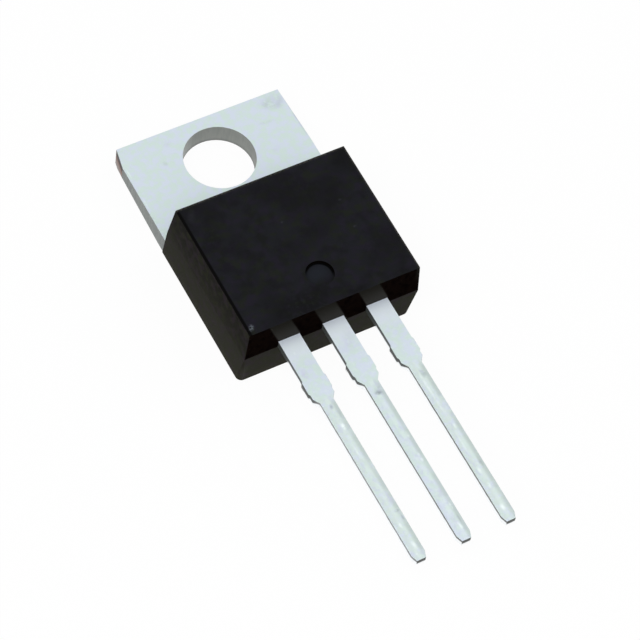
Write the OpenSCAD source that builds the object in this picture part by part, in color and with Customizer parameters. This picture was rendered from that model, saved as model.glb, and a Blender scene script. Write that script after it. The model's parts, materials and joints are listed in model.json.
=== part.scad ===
// Three-lead power thyristor: a stamped copper tab with its leads, the silicon
// die soldered on it, the clip and wire that connect the die, and the moulded
// body that holds everything together.
//
// Origin: axis of the mounting hole, on the back of the tab.
// +Z points out of the front of the body, and the leads run along -Y.
// Distances along the part are measured from the axis of the mounting hole.

/* [Tab] */
// Width of the mounting tab
tab_w = 9.98; // [9.7:0.02:10.2]
// Thickness of the tab and of the header inside the body
tab_t = 1.23; // [1.1:0.01:1.4]
// Hole axis to the free end of the tab
tab_end = 2.67; // [2.5:0.01:3.2]
// Diameter of the mounting hole
hole_d = 3.92; // [3.5:0.02:4.1]
// Radius of the rolled-over lower edges of the tab
tab_roll_r = 0.05; // [0.03:0.01:0.2]
// Drawn-in lower left edge: how far it reaches into the width at the free end
drawn_in = 0.17; // [0.05:0.01:0.3]
// Drawn-in lower left edge: how far it reaches up the side at the free end
drawn_up = 0.45; // [0.2:0.01:0.6]
// Hole axis to where the drawn-in edge runs out, next to the body
drawn_from = 3.3; // [2.5:0.05:3.4]
// Sheared left corner: how far it cuts into the width
cut_left_in = 0.23; // [0.1:0.01:0.5]
// Sheared left corner: how far it runs down the side
cut_left_run = 1.2; // [0.8:0.05:2]
// Sheared right corner: how far it cuts into the width
cut_right_in = 0.13; // [0.05:0.01:0.4]
// Sheared right corner: how far it runs down the side
cut_right_run = 3.6; // [0.8:0.05:4]

/* [Header inside the body] */
// Width of the header
header_w = 9; // [8.6:0.05:9.4]
// Hole axis to the lead side of the header
header_end = 10; // [9.6:0.05:10.3]
// How far the full width of the tab runs into the body
shoulder_lap = 0.35; // [0.2:0.01:0.5]
// Width of the pad that is bare on the back
pad_w = 8.2; // [7.6:0.05:8.4]
// Step along the header's lead side, under which the moulding grips
pad_step = 0.35; // [0.2:0.01:0.5]
// Height of the step round the bare pad
pad_h = 0.45; // [0.3:0.01:0.6]
// Hole axis to the moisture groove across the header
groove_at = 4.9; // [4.7:0.02:5.1]
// Width of the moisture groove
groove_w = 0.5; // [0.3:0.01:0.6]
// Depth of the moisture groove
groove_depth = 0.22; // [0.1:0.01:0.3]
// Radius of the round notches in the header's sides
notch_r = 0.5; // [0.3:0.01:0.6]
// Hole axis to the round notches
notch_at = 6.2; // [5.9:0.05:6.6]

/* [Leads] */
// Distance between the centres of neighbouring leads
lead_pitch = 2.54; // [2.4:0.01:2.7]
// Thickness of the lead metal
lead_t = 0.45; // [0.38:0.01:0.55]
// Height of the leads' underside above the back of the tab
lead_h = 2.6; // [2.4:0.05:2.8]
// Width of a lead where it leaves the body
lead_wide = 1.22; // [1.1:0.01:1.3]
// Width of a lead below its shoulder
lead_narrow = 0.76; // [0.6:0.01:0.85]
// Length of a lead outside the body
lead_len = 13.78; // [12.7:0.02:14.3]
// Body to the stub left by the cut tie bar
stub_at = 2.53; // [2.1:0.01:2.7]
// Length of the stub along the lead, without its slopes
stub_len = 0.7; // [0.5:0.02:0.9]
// How far the stub stands out of each side
stub_out = 0.06; // [0.03:0.01:0.12]
// Length of the slopes that lead into and out of the stub
stub_ramp = 0.1; // [0.05:0.01:0.25]
// Length of the wide part between the stub and the taper
shoulder_len = 0.26; // [0.1:0.01:0.4]
// Length of the taper from the wide to the narrow part
taper_len = 0.34; // [0.2:0.01:0.6]
// Length of the chamfers at the tip
tip_len = 0.36; // [0.2:0.01:0.5]
// Width of the blunt end of the tip
tip_w = 0.5; // [0.4:0.01:0.58]
// Hole axis to the inner edge of the bonding posts
post_from = 9.9; // [9.7:0.02:10]
// Length of a bonding post
post_len = 1.4; // [1.3:0.01:1.5]
// Side of a bonding post that faces the middle, from the centre line
post_inner = 1.35; // [1.25:0.01:1.45]
// Side of a bonding post that faces the side of the body, from the centre line
post_outer = 4.05; // [3.9:0.01:4.2]
// Steepness of the offset bend of the middle lead
bend_angle = 55; // [50:1:60]
// Inner radius of the bends of the middle lead
bend_r = 0.3; // [0.2:0.01:0.4]
// Width of the middle lead where it joins the header
root_w = 1.8; // [1.6:0.05:2]
// Straight length of the middle lead next to the header
root_len = 0.2; // [0.1:0.01:0.3]

/* [Body] */
// Width of the body at its parting plane
body_w = 10.08; // [9.9:0.02:10.3]
// Height of the body above the back of the tab
body_h = 4.68; // [4.5:0.02:4.9]
// Hole axis to the body's front face on the tab side
body_from = 3.98; // [3.9:0.01:4.1]
// Hole axis to the body's parting plane on the lead side
body_to = 12.27; // [12.1:0.02:12.5]
// Draft of the tab-side end
draft_tab_end = 7.4; // [6.5:0.1:8]
// Draft of the lead-side end above the parting plane
draft_end_upper = 2.5; // [1:0.1:4]
// Draft of the lead-side end below the parting plane
draft_end_lower = 5.7; // [4:0.1:7]
// Draft of the sides above the parting plane
draft_side_upper = 4; // [3:0.1:5]
// Draft of the sides below the parting plane
draft_side_lower = 0.4; // [0.2:0.1:0.8]
// Radius of the lower corners of the lead-side end, at the back of the body
corner_r = 0.32; // [0.2:0.01:0.5]
// Radius of the round ejector mark in the front face
mark_r = 0.75; // [0.6:0.01:0.9]
// Depth of the ejector mark
mark_depth = 0.18; // [0.1:0.01:0.25]
// Hole axis to the centre of the ejector mark
mark_at = 10.37; // [10.2:0.01:10.6]
// Centre line to the centre of the ejector mark, towards the gate lead
mark_off = 0.06; // [0:0.01:0.2]

/* [Die and connections] */
// Side of the square die
die_w = 3.6; // [3.3:0.05:3.9]
// Thickness of the die
die_t = 0.28; // [0.2:0.01:0.35]
// Hole axis to the centre of the die
die_at = 7.3; // [7.2:0.02:7.4]
// Width of the sunken rim round the top of the die
moat_w = 0.2; // [0.1:0.01:0.25]
// Depth of the sunken rim
moat_depth = 0.1; // [0.05:0.01:0.12]
// Thickness of the solder under the die
die_solder_t = 0.06; // [0.04:0.01:0.1]
// Thickness of the solder at both ends of the clip
clip_solder_t = 0.05; // [0.03:0.01:0.08]
// How far solder spreads past what it holds
solder_flow = 0.12; // [0.05:0.01:0.15]
// Thickness of the cathode clip
clip_t = 0.25; // [0.2:0.01:0.3]
// Width of the clip's foot on the die
foot_w = 1.9; // [1.7:0.05:2]
// Length of the clip's foot on the die
foot_len = 1.6; // [1.4:0.05:1.8]
// Centre of the clip's foot from the centre line, towards the cathode lead
foot_off = 0.5; // [0.4:0.01:0.6]
// Width of the clip's arm on the bonding post
arm_w = 1.4; // [1.2:0.05:1.5]
// Overlap of the clip's arm and the bonding post
arm_lap = 0.95; // [0.8:0.01:1.1]
// Steepness of the clip between foot and arm
clip_angle = 60; // [55:1:65]
// Inner radius of the clip's bends
clip_r = 0.3; // [0.2:0.01:0.35]
// Diameter of the gate wire
wire_d = 0.2; // [0.15:0.01:0.25]
// Length of the flattened ends of the gate wire
wire_foot = 0.4; // [0.3:0.01:0.5]
// How far the flattened ends are pressed down
wire_press = 0.03; // [0.02:0.005:0.04]
// Steepness of the gate wire where it leaves the die
loop_rise = 75; // [65:1:80]
// Steepness of the gate wire where it comes down on the post
loop_fall = 30; // [20:1:35]
// Bend radius of the gate wire next to its flattened ends
loop_heel_r = 0.3; // [0.25:0.01:0.35]
// Bend radius at the top of the gate wire's loop
loop_top_r = 0.45; // [0.35:0.01:0.5]
// Edge of the die to the gate contact, both ways
gate_inset = 0.55; // [0.5:0.01:0.65]
// Inner edge of the gate post to the wire's contact
gate_bond = 0.5; // [0.4:0.01:0.6]

/* [Hidden] */
$fn = 96;
// Overrun of cutting tools past the faces that they cut
over = 1;
// Steps in each bend of a strip
bend_steps = 8;
// Steps in each rounded corner of the body
corner_steps = 8;
// Sides of the gate wire, and steps in each of its bends
wire_sides = 12;
wire_steps = 6;

// Top of each layer, from the back of the tab upwards
die_z = tab_t + die_solder_t;
die_top = die_z + die_t;
clip_foot_z = die_top + clip_solder_t;
lead_top = lead_h + lead_t;
clip_arm_z = lead_top + clip_solder_t;

// Where the sloping end of the body meets the back of the tab
body_back = body_from - body_h * tan(draft_tab_end);
// Where the full width of the tab ends, inside the body
shoulder_y = -body_back - shoulder_lap;
lead_tip = body_to + lead_len;
// Half widths of the body at its front and back
body_half_front = body_w / 2 - (body_h - lead_h) * tan(draft_side_upper);
body_half_back = body_w / 2 - lead_h * tan(draft_side_lower);

// Extrudes a side view, drawn as [y, z], over a width across the part
module across(width) {
  rotate([90, 0, 90]) translate([0, 0, -width / 2]) linear_extrude(width) children();
}

// Extrudes an end view, drawn as [x, z], from y_low to y_high
module along(y_low, y_high) {
  translate([0, y_high, 0]) rotate([90, 0, 0]) linear_extrude(y_high - y_low) children();
}

// Rectangle between two corners
module box2(low, high) {
  translate(low) square(high - low);
}

// Points of an arc round a centre, in equal steps
function arc(centre, r, from, to, steps) =
  [for (i = [0:steps]) let (a = from + (to - from) * i / steps) centre + r * [cos(a), sin(a)]];

// How far an offset bend in a strip reaches, from the start of its first bend
// to the end of its second. The strip rises at an angle between the two.
function bend_reach(t, r, rise, angle) =
  (2 * r + t) * sin(angle) + (rise - (2 * r + t) * (1 - cos(angle))) / tan(angle);

// Side view of a strip that runs in along 0 and out along rise, underside first
module offset_strip(t, r, rise, angle, run_in, run_out) {
  reach = bend_reach(t, r, rise, angle);
  first = [0, t + r];
  second = [reach, rise - r];
  polygon(concat([[-run_in, 0]],
                 arc(first, r + t, -90, angle - 90, bend_steps),
                 arc(second, r, 90 + angle, 90, bend_steps),
                 [[reach + run_out, rise], [reach + run_out, rise + t]],
                 arc(second, r + t, 90, 90 + angle, bend_steps),
                 arc(first, r, angle - 90, -90, bend_steps),
                 [[-run_in, t]]));
}

// Flat-topped pad with sloping sides, as solder sets round what it holds
module solder_pad(size, thickness) {
  low = size / 2 + [solder_flow, solder_flow];
  high = size / 2;
  intersection() {
    across(2 * low.x) polygon([[-low.y, 0], [low.y, 0], [high.y, thickness], [-high.y, thickness]]);
    along(-low.y, low.y) polygon([[-low.x, 0], [low.x, 0], [high.x, thickness], [-high.x, thickness]]);
  }
}

// Pyramid over the flat outline base, which runs clockwise seen from the apex
module pyramid(apex, base) {
  count = len(base);
  polyhedron(concat([apex], base),
             concat([for (i = [1:count]) [0, i, i % count + 1]], [[for (i = [count:-1:1]) i]]));
}

// Outline of one side of a lead, as [half width, distance from the hole axis]
function lead_side() =
  let (stub = body_to + stub_at,
       stub_end = stub + stub_len + 2 * stub_ramp,
       taper = stub_end + shoulder_len)
  [[lead_wide / 2, stub],
   [lead_wide / 2 + stub_out, stub + stub_ramp],
   [lead_wide / 2 + stub_out, stub_end - stub_ramp],
   [lead_wide / 2, stub_end],
   [lead_wide / 2, taper],
   [lead_narrow / 2, taper + taper_len],
   [lead_narrow / 2, lead_tip - tip_len],
   [tip_w / 2, lead_tip]];

// Plan of a lead from a distance inside the body to its tip
module lead_plan(from) {
  side = lead_side();
  last = len(side) - 1;
  polygon(concat([[-lead_wide / 2, -from]],
                 [for (p = side) [-p.x, -p.y]],
                 [for (i = [last:-1:0]) [side[i].x, -side[i].y]],
                 [[lead_wide / 2, -from]]));
}

// Plan of the tab with its sheared corners, and of the header behind it
module frame_plan() {
  half = tab_w / 2;
  polygon([[-half + cut_left_in, tab_end],
           [half - cut_right_in, tab_end],
           [half, tab_end - cut_right_run],
           [half, shoulder_y],
           [header_w / 2, shoulder_y],
           [header_w / 2, -header_end],
           [-header_w / 2, -header_end],
           [-header_w / 2, shoulder_y],
           [-half, shoulder_y],
           [-half, tab_end - cut_left_run]]);
}

// Cuts the drawn-in lower left edge of the tab, which runs out next to the body
module drawn_edge() {
  side = -tab_w / 2;
  start = [side, -drawn_from, 0];
  grow = (tab_end + over + drawn_from) / (tab_end + drawn_from);
  inner = start + grow * [drawn_in, tab_end + drawn_from, 0];
  upper = start + grow * [0, tab_end + drawn_from, drawn_up];
  pyramid(start, [inner, inner - [0, 0, over], inner - [over, 0, over], upper - [over, 0, 0], upper]);
}

// End view of the tab: a plate with rolled-over lower edges
module rolled_plate(width, thickness) {
  inner = width / 2 - tab_roll_r;
  box2([-width / 2, tab_roll_r], [width / 2, thickness]);
  box2([-inner, 0], [inner, tab_roll_r]);
  for (side = [-1, 1]) translate([side * inner, tab_roll_r]) circle(tab_roll_r);
}

// Tab and header plate, with the step round the bare pad and its mould locks
module header_plate() {
  difference() {
    intersection() {
      linear_extrude(tab_t) frame_plan();
      along(-header_end, tab_end) rolled_plate(tab_w, tab_t);
    }
    drawn_edge();
    // Mounting hole
    translate([0, 0, -over]) cylinder(d = hole_d, h = tab_t + 2 * over);
    // Step along both sides and the lead side of the bare pad
    for (side = [-1, 1])
      translate([side * (pad_w / 2 + tab_w / 2), (shoulder_y - header_end) / 2 - over / 2, 0])
        cube([tab_w, header_end + shoulder_y + over, 2 * pad_h], center = true);
    translate([-tab_w / 2, -header_end - over, -pad_h])
      cube([tab_w, over + pad_step, 2 * pad_h]);
    // Moisture groove
    across(2 * tab_w) polygon([[-groove_at - groove_w / 2, tab_t + over],
                               [-groove_at - groove_w / 2, tab_t],
                               [-groove_at, tab_t - groove_depth],
                               [-groove_at + groove_w / 2, tab_t],
                               [-groove_at + groove_w / 2, tab_t + over]]);
    // Round notches in the sides
    for (side = [-1, 1])
      translate([side * header_w / 2, -notch_at, -over]) cylinder(r = notch_r, h = tab_t + 2 * over);
  }
}

// Middle lead: it is one with the header's front surface, rises and leaves the body
module middle_lead() {
  rise = lead_top - tab_t;
  start = header_end + root_len;
  reach = bend_reach(lead_t, bend_r, rise, bend_angle);
  root = header_end - pad_step;
  intersection() {
    across(tab_w) mirror([1, 0]) translate([start, tab_t - lead_t])
      offset_strip(lead_t, bend_r, rise, bend_angle, start - root, lead_tip - start - reach);
    linear_extrude(body_h) {
      lead_plan(start + reach);
      polygon([[-root_w / 2, -root], [root_w / 2, -root],
               [root_w / 2, -start], [lead_wide / 2, -start - reach],
               [-lead_wide / 2, -start - reach], [-root_w / 2, -start]]);
    }
  }
}

module tab_and_anode_lead() {
  color([0.79, 0.82, 0.81]) {
    header_plate();
    middle_lead();
  }
}

// Outer lead with its bonding post; side is -1 for the cathode, 1 for the gate
module outer_lead(side) {
  translate([0, 0, lead_h]) linear_extrude(lead_t) {
    translate([side * lead_pitch, 0]) lead_plan(post_from);
    box2([min(side * post_inner, side * post_outer), -post_from - post_len],
         [max(side * post_inner, side * post_outer), -post_from]);
  }
}

module cathode_lead() {
  color([0.79, 0.82, 0.81]) outer_lead(-1);
}

module gate_lead() {
  color([0.79, 0.82, 0.81]) outer_lead(1);
}

module die_solder() {
  color([0.62, 0.63, 0.64]) translate([0, -die_at, tab_t]) solder_pad([die_w, die_w], die_solder_t);
}

// Silicon die with the sunken, passivated rim of a mesa thyristor
module thyristor_die() {
  mesa_w = die_w - 2 * moat_w;
  color([0.25, 0.27, 0.32]) translate([0, -die_at, die_z]) {
    translate([-die_w / 2, -die_w / 2, 0]) cube([die_w, die_w, die_t - moat_depth]);
    translate([-mesa_w / 2, -mesa_w / 2, 0]) cube([mesa_w, mesa_w, die_t]);
  }
}

// The clip's foot is centred along the die, and its arm along the post
clip_foot_x = -foot_off;
clip_foot_back = die_at - foot_len / 2;
clip_foot_front = die_at + foot_len / 2;
clip_arm_x = -post_inner - arm_w / 2 - solder_flow;
clip_arm_end = post_from + arm_lap + solder_flow;
clip_rise = clip_arm_z - clip_foot_z;
clip_reach = bend_reach(clip_t, clip_r, clip_rise, clip_angle);

module clip_solder_on_die() {
  color([0.62, 0.63, 0.64]) translate([clip_foot_x, -die_at, die_top])
    solder_pad([foot_w, foot_len], clip_solder_t);
}

module clip_solder_on_post() {
  color([0.62, 0.63, 0.64])
    translate([clip_arm_x, -clip_arm_end + arm_lap / 2, lead_top])
      solder_pad([arm_w, arm_lap], clip_solder_t);
}

module cathode_clip() {
  arm_from = clip_foot_front + clip_reach;
  foot_half = [foot_w / 2, 0];
  arm_half = [arm_w / 2, 0];
  color([0.72, 0.45, 0.3]) intersection() {
    across(2 * tab_w) mirror([1, 0]) translate([clip_foot_front, clip_foot_z])
      offset_strip(clip_t, clip_r, clip_rise, clip_angle, foot_len, clip_arm_end - arm_from);
    linear_extrude(body_h) polygon([
      [clip_foot_x, -clip_foot_back] - foot_half,
      [clip_foot_x, -clip_foot_back] + foot_half,
      [clip_foot_x, -clip_foot_front] + foot_half,
      [clip_arm_x, -arm_from] + arm_half,
      [clip_arm_x, -clip_arm_end] + arm_half,
      [clip_arm_x, -clip_arm_end] - arm_half,
      [clip_arm_x, -arm_from] - arm_half,
      [clip_foot_x, -clip_foot_front] - foot_half]);
  }
}

// Ends of the gate wire, on the die and on the gate lead's post
wire_from = [die_w / 2 - gate_inset, -die_at - die_w / 2 + gate_inset];
wire_to = [lead_pitch, -post_from - gate_bond];
wire_turn = atan2(wire_to.y - wire_from.y, wire_to.x - wire_from.x);

// Route of the wire in its own upright plane, as [distance, height, heading].
// Between its flat ends it bends up, rises, turns over, falls and bends level.
function wire_route(span, rise) =
  let (turns = sin(loop_rise) + sin(loop_fall),
       drop = cos(loop_fall) - cos(loop_rise),
       level = span - wire_foot - (loop_heel_r + loop_top_r) * turns,
       height = rise - (loop_heel_r + loop_top_r) * drop,
       up_run = (level * sin(loop_fall) + height * cos(loop_fall)) / sin(loop_rise + loop_fall),
       heel = [wire_foot / 2, loop_heel_r],
       heel_end = heel + loop_heel_r * [sin(loop_rise), -cos(loop_rise)],
       crest = heel_end + up_run * [cos(loop_rise), sin(loop_rise)]
         + loop_top_r * [sin(loop_rise), -cos(loop_rise)],
       toe = [span - wire_foot / 2, rise + loop_heel_r])
  concat([[-wire_foot / 2, 0, 0]],
         route_bend(heel, loop_heel_r, 0, loop_rise),
         route_bend(crest, -loop_top_r, loop_rise, -loop_fall),
         route_bend(toe, loop_heel_r, -loop_fall, 0),
         [[span + wire_foot / 2, rise, 0]]);

// One bend of the route; a negative radius turns it over to the right
function route_bend(centre, r, from, to) =
  [for (i = [0:wire_steps]) let (a = from + (to - from) * i / wire_steps)
    [centre.x + r * sin(a), centre.y - r * cos(a), a]];

// Ring of points round the wire, pressed flat where it would pass below a height
function wire_ring(p, lowest) =
  [for (i = [0:wire_sides - 1]) let (a = 360 * i / wire_sides, s = wire_d / 2 * sin(a))
    [p.x - s * sin(p.z), wire_d / 2 * cos(a), max(lowest, p.y + s * cos(p.z))]];

module gate_wire() {
  span = norm(wire_to - wire_from);
  rise = lead_top - die_top;
  lift = wire_d / 2 - wire_press;
  route = wire_route(span, rise);
  last = len(route) - 1;
  half = floor(len(route) / 2);
  points = [for (i = [0:last]) each wire_ring(route[i], i < half ? -lift : rise - lift)];
  rings = [for (i = [0:last - 1], j = [0:wire_sides - 1])
    let (a = i * wire_sides, k = (j + 1) % wire_sides, b = a + wire_sides)
    each [[a + j, a + k, b + k], [a + j, b + k, b + j]]];
  ends = [[for (j = [wire_sides - 1:-1:0]) j], [for (j = [0:wire_sides - 1]) last * wire_sides + j]];
  color([0.86, 0.86, 0.87])
    translate([wire_from.x, wire_from.y, die_top + lift]) rotate(wire_turn)
      polyhedron(points, concat(rings, ends));
}

// Cuts a lower corner of the lead-side end: sharp at the parting plane, and
// rounded more and more towards the back of the body
module corner_cut() {
  apex = [body_w / 2, -body_to, lead_h];
  corner = [body_half_back, -body_to + lead_h * tan(draft_end_lower)];
  centre = corner + [-corner_r, corner_r];
  rounding = [for (p = arc(centre, corner_r, -90, 0, corner_steps)) [p.x, p.y, 0]];
  outside = [rounding[corner_steps] + [over, 0, 0],
             [corner.x + over, corner.y - over, 0],
             rounding[0] - [0, over, 0]];
  grow = (lead_h + over) / lead_h;
  pyramid(apex, [for (p = concat(rounding, outside)) apex + grow * (p - apex)]);
}

// Outer form of the moulding: two drafted halves that meet at the leads' underside
module body_form() {
  difference() {
    intersection() {
      across(2 * body_w) polygon([
        [-body_to + lead_h * tan(draft_end_lower), 0],
        [-body_to, lead_h],
        [-body_to + (body_h - lead_h) * tan(draft_end_upper), body_h],
        [-body_from, body_h],
        [-body_back, 0]]);
      along(-2 * body_to, over) polygon([
        [-body_half_back, 0],
        [body_half_back, 0],
        [body_w / 2, lead_h],
        [body_half_front, body_h],
        [-body_half_front, body_h],
        [-body_w / 2, lead_h]]);
    }
    corner_cut();
    mirror([1, 0]) corner_cut();
  }
}

module body() {
  color([0.12, 0.12, 0.13]) difference() {
    body_form();
    translate([mark_off, -mark_at, body_h - mark_depth]) cylinder(r = mark_r, h = mark_depth + over);
    tab_and_anode_lead();
    cathode_lead();
    gate_lead();
    die_solder();
    thyristor_die();
    clip_solder_on_die();
    clip_solder_on_post();
    cathode_clip();
    gate_wire();
  }
}

body();
tab_and_anode_lead();
cathode_lead();
gate_lead();
die_solder();
thyristor_die();
clip_solder_on_die();
clip_solder_on_post();
cathode_clip();
gate_wire();
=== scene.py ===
"""Dresses the three-lead power thyristor: rounded edges, plated metal, black
moulding, a pale floor, soft light and the camera. Lengths are in metres, in
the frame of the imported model: origin on the hole's axis at the back of the
tab, +Z out of the body's front, leads along -Y."""

import json
import math

import bmesh
import bpy
from mathutils import Matrix, Vector


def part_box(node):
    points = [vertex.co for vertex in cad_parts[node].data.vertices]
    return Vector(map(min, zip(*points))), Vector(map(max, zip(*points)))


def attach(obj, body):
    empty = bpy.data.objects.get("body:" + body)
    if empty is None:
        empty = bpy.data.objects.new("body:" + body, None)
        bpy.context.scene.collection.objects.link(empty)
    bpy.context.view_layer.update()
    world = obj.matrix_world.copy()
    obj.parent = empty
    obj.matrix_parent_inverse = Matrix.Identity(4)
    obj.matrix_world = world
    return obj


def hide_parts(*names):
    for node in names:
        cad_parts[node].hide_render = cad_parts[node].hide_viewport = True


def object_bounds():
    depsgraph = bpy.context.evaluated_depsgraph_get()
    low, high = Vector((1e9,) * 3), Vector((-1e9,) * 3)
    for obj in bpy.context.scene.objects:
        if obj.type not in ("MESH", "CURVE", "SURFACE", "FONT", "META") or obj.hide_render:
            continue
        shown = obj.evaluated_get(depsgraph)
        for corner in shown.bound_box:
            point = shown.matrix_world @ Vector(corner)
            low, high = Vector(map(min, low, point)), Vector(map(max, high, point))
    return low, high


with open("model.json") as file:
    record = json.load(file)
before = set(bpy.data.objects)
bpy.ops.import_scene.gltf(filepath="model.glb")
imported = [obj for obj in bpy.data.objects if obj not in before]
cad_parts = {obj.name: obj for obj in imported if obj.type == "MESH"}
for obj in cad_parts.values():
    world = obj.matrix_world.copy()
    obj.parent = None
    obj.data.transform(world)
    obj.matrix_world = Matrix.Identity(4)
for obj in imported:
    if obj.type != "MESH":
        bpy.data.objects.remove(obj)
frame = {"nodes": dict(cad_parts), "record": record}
cad_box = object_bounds()

MM = 0.001
NODES = frame["nodes"]
MOUNTS = {m["name"]: m for m in frame["record"]["mounts"]}

# Places read from the frame
TAB_T = MOUNTS["tab_hole"]["dims"]["length_mm"] * MM
HOLE_R = MOUNTS["tab_hole"]["dims"]["r_mm"] * MM
BODY_LOW, BODY_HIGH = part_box("body")
LEAD_LOW, LEAD_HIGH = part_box("gate_lead")
PARTING = LEAD_LOW.z
LEAD_TOP = LEAD_HIGH.z
LEAD_EXIT = BODY_LOW.y
LEAD_PITCH = (MOUNTS["gate_lead_end"]["pos_m"][0] - MOUNTS["cathode_lead_end"]["pos_m"][0]) / 2
LEAD_CENTRES = [-LEAD_PITCH, 0.0, LEAD_PITCH]

# Width of the leads next to the body, as in the part's source
LEAD_WIDE = 1.22 * MM

# Middle and radius of the ejector mark in mm, as in the part's source
MARK_X = 0.06
MARK_Y = -10.37
MARK_R = 0.75

# Height of the leads' top and places along them, in mm
TOP = LEAD_TOP / MM
EXIT = LEAD_EXIT / MM
STUB_FROM = EXIT - 2.58
STUB_TO = EXIT - 3.38
NARROW_FROM = EXIT - 4.0

# Edge radii
BODY_EDGE_R = 0.04 * MM
LEAD_EDGE_R = 0.03 * MM

# Faces that meet at less than the first angle are one face, at more than the
# second they may be rounded, and at more than the third they keep a crisp edge
FLAT_ANGLE = math.radians(0.5)
SHARP_ANGLE = math.radians(20)
CRISP_ANGLE = math.radians(35)


def srgb(red, green, blue):
    """Linear colour of an sRGB colour given from 0 to 255."""
    def linear(v):
        v /= 255
        return v / 12.92 if v <= 0.04045 else ((v + 0.055) / 1.055) ** 2.4
    return (linear(red), linear(green), linear(blue), 1.0)


# Half height of a patch that reaches all heights, in mm
ANY_HEIGHT = 1e6


class Nodes:
    """A material being built, with its coordinates in millimetres."""

    def __init__(self, name):
        self.material = bpy.data.materials.new(name)
        self.material.use_nodes = True
        self.tree = self.material.node_tree
        self.bsdf = self.tree.nodes["Principled BSDF"]
        coordinates = self.tree.nodes.new("ShaderNodeTexCoord")
        self.normal = coordinates.outputs["Normal"]
        scale = self.tree.nodes.new("ShaderNodeVectorMath")
        scale.operation = "SCALE"
        scale.inputs["Scale"].default_value = 1 / MM
        self.tree.links.new(coordinates.outputs["Object"], scale.inputs[0])
        self.place = scale.outputs[0]
        self.x, self.y, self.z = self.split(self.place)

    def put(self, socket, value):
        """Links a socket to another, or sets its value."""
        if isinstance(value, bpy.types.NodeSocket):
            self.tree.links.new(value, socket)
        else:
            socket.default_value = value

    def split(self, vector):
        """The three parts of a vector."""
        node = self.tree.nodes.new("ShaderNodeSeparateXYZ")
        self.put(node.inputs[0], vector)
        return node.outputs

    def math(self, operation, a, b=0.0, c=0.0):
        """Result of a math node on up to three values."""
        node = self.tree.nodes.new("ShaderNodeMath")
        node.operation = operation
        for socket, value in zip(node.inputs, (a, b, c)):
            self.put(socket, value)
        return node.outputs[0]

    def total(self, start, *terms):
        """A value plus each mask times its amount. Each term is (mask, amount)."""
        for mask, amount in terms:
            start = self.math("MULTIPLY_ADD", mask, amount, start)
        return start

    def distance(self, x, y):
        """Distance in mm from the upright line through a point of the plan."""
        squares = [self.math("POWER", self.math("SUBTRACT", here, there), 2.0)
                   for here, there in ((self.x, x), (self.y, y))]
        return self.math("SQRT", self.math("ADD", *squares))

    def step(self, value, low, high):
        """0 at low, 1 at high, smooth between; low may be the larger."""
        node = self.tree.nodes.new("ShaderNodeMapRange")
        node.interpolation_type = "SMOOTHSTEP"
        flipped = low > high
        self.put(node.inputs["Value"], value)
        self.put(node.inputs["From Min"], min(low, high))
        self.put(node.inputs["From Max"], max(low, high))
        self.put(node.inputs["To Min"], 1.0 if flipped else 0.0)
        self.put(node.inputs["To Max"], 0.0 if flipped else 1.0)
        return node.outputs[0]

    def both(self, *masks):
        """Product of masks."""
        result = masks[0]
        for mask in masks[1:]:
            result = self.math("MULTIPLY", result, mask)
        return result

    def either(self, *masks):
        """Largest of masks."""
        result = masks[0]
        for mask in masks[1:]:
            result = self.math("MAXIMUM", result, mask)
        return result

    def between(self, value, start, end):
        """1 between two soft edges, each given as (where it is 0, where it is 1)."""
        return self.both(self.step(value, *start), self.step(value, *end))

    def noise(self, size, detail=2.0, stretch=(1.0, 1.0, 1.0)):
        """Noise from 0 to 1 with features of a size in mm, stretched along the axes."""
        mapping = self.tree.nodes.new("ShaderNodeMapping")
        self.put(mapping.inputs["Vector"], self.place)
        mapping.inputs["Scale"].default_value = [1 / (size * s) for s in stretch]
        node = self.tree.nodes.new("ShaderNodeTexNoise")
        self.put(node.inputs["Vector"], mapping.outputs[0])
        node.inputs["Scale"].default_value = 1.0
        node.inputs["Detail"].default_value = detail
        return node.outputs["Fac"]

    def clouds(self, size, low, high, detail=2.0, stretch=(1.0, 1.0, 1.0)):
        """Soft patches: 0 where the noise is below low and 1 where it is above high."""
        return self.step(self.noise(size, detail, stretch), low, high)

    def mix(self, share, a, b):
        """Colour a where share is 0 and b where it is 1."""
        node = self.tree.nodes.new("ShaderNodeMix")
        node.data_type = "RGBA"
        self.put(node.inputs[0], share)
        self.put(node.inputs[6], a)
        self.put(node.inputs[7], b)
        return node.outputs[2]

    def two_tones(self, share, tone_a, tone_b):
        """The mix of two tones given from 0 to 255."""
        return self.mix(share, srgb(*tone_a), srgb(*tone_b))

    def lay(self, colour, tone, mask, share=1.0):
        """A colour with a share of a tone, given from 0 to 255, over it in a mask."""
        return self.mix(self.math("MULTIPLY", mask, share), colour, srgb(*tone))

    def spot(self, x, y, long, wide, angle=0.0, soft=0.9):
        """Round or oval patch in the plan, 1 inside and 0 outside. Sizes are in mm and the
        angle in degrees. Its edge fades by a share of the radius inwards and outwards."""
        turn = self.tree.nodes.new("ShaderNodeMapping")
        turn.vector_type = "TEXTURE"
        self.put(turn.inputs["Vector"], self.place)
        turn.inputs["Location"].default_value = (x, y, 0)
        turn.inputs["Rotation"].default_value = (0, 0, math.radians(angle))
        turn.inputs["Scale"].default_value = (long / 2, wide / 2, ANY_HEIGHT)
        length = self.tree.nodes.new("ShaderNodeVectorMath")
        length.operation = "LENGTH"
        self.put(length.inputs[0], turn.outputs[0])
        return self.step(length.outputs["Value"], 1 + soft, 1 - soft)

    def bump(self, height, depth, strength):
        """Fine relief in the normal, with a depth in metres."""
        node = self.tree.nodes.new("ShaderNodeBump")
        node.inputs["Strength"].default_value = strength
        node.inputs["Distance"].default_value = depth
        self.put(node.inputs["Height"], height)
        self.put(self.bsdf.inputs["Normal"], node.outputs[0])


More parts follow.
